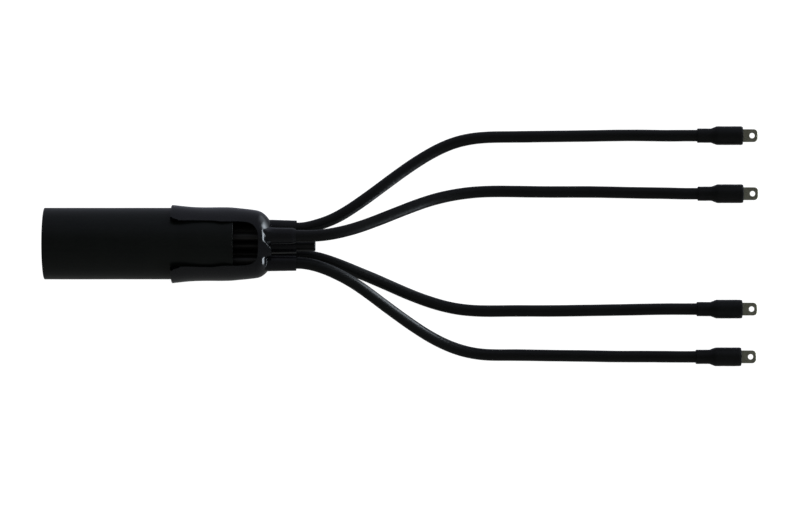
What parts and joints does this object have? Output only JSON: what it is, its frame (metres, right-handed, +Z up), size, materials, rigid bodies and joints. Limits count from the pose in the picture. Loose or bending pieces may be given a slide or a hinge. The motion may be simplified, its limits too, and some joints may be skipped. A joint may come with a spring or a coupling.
{
  "type": "cable termination",
  "caption": "Shrink breakout termination of a thick power cable: boot with cut-away window, insulated cores with ring-hole lugs in stepped sleeves, and a capped spare core.",
  "frame": {"origin": "on the ground, under the axis of the cable, half way along the cable and its breakout boot", "axes": "+X along the cable towards the lugs, +Y to the left of the cable seen from its sawn end, +Z up"},
  "size_m": [0.7163, 0.2419, 0.0745],
  "materials": {
    "sheath": "satin black extruded sheath with faint draw lines",
    "bedding": "dull dark grey extruded filler",
    "boot": "semi-gloss black shrunk moulding",
    "core_tube": "satin black shrink tube",
    "lug_sleeve": "satin black shrink sleeve",
    "spare_cap": "satin black shrink cap",
    "insulation": "smooth black insulation",
    "conductor": "stranded copper, sawn bright at the cut end",
    "lug": "tinned copper gone dull and grey"
  },
  "bodies": {
    "root": {"outer_sheath": "sheath", "bedding": "bedding", "breakout_boot": "boot", "core_1_conductor": "conductor", "core_1_insulation": "insulation", "core_1_tube": "core_tube", "core_1_lug": "lug", "core_1_lug_sleeve": "lug_sleeve", "core_2_conductor": "conductor", "core_2_insulation": "insulation", "core_2_tube": "core_tube", "core_2_lug": "lug", "core_2_lug_sleeve": "lug_sleeve", "core_3_conductor": "conductor", "core_3_insulation": "insulation", "core_3_tube": "core_tube", "core_3_lug": "lug", "core_3_lug_sleeve": "lug_sleeve", "core_4_conductor": "conductor", "core_4_insulation": "insulation", "core_4_tube": "core_tube", "core_4_lug": "lug", "core_4_lug_sleeve": "lug_sleeve", "spare_conductor": "conductor", "spare_insulation": "insulation", "spare_core_cap": "spare_cap"}
  },
  "joints": []
}
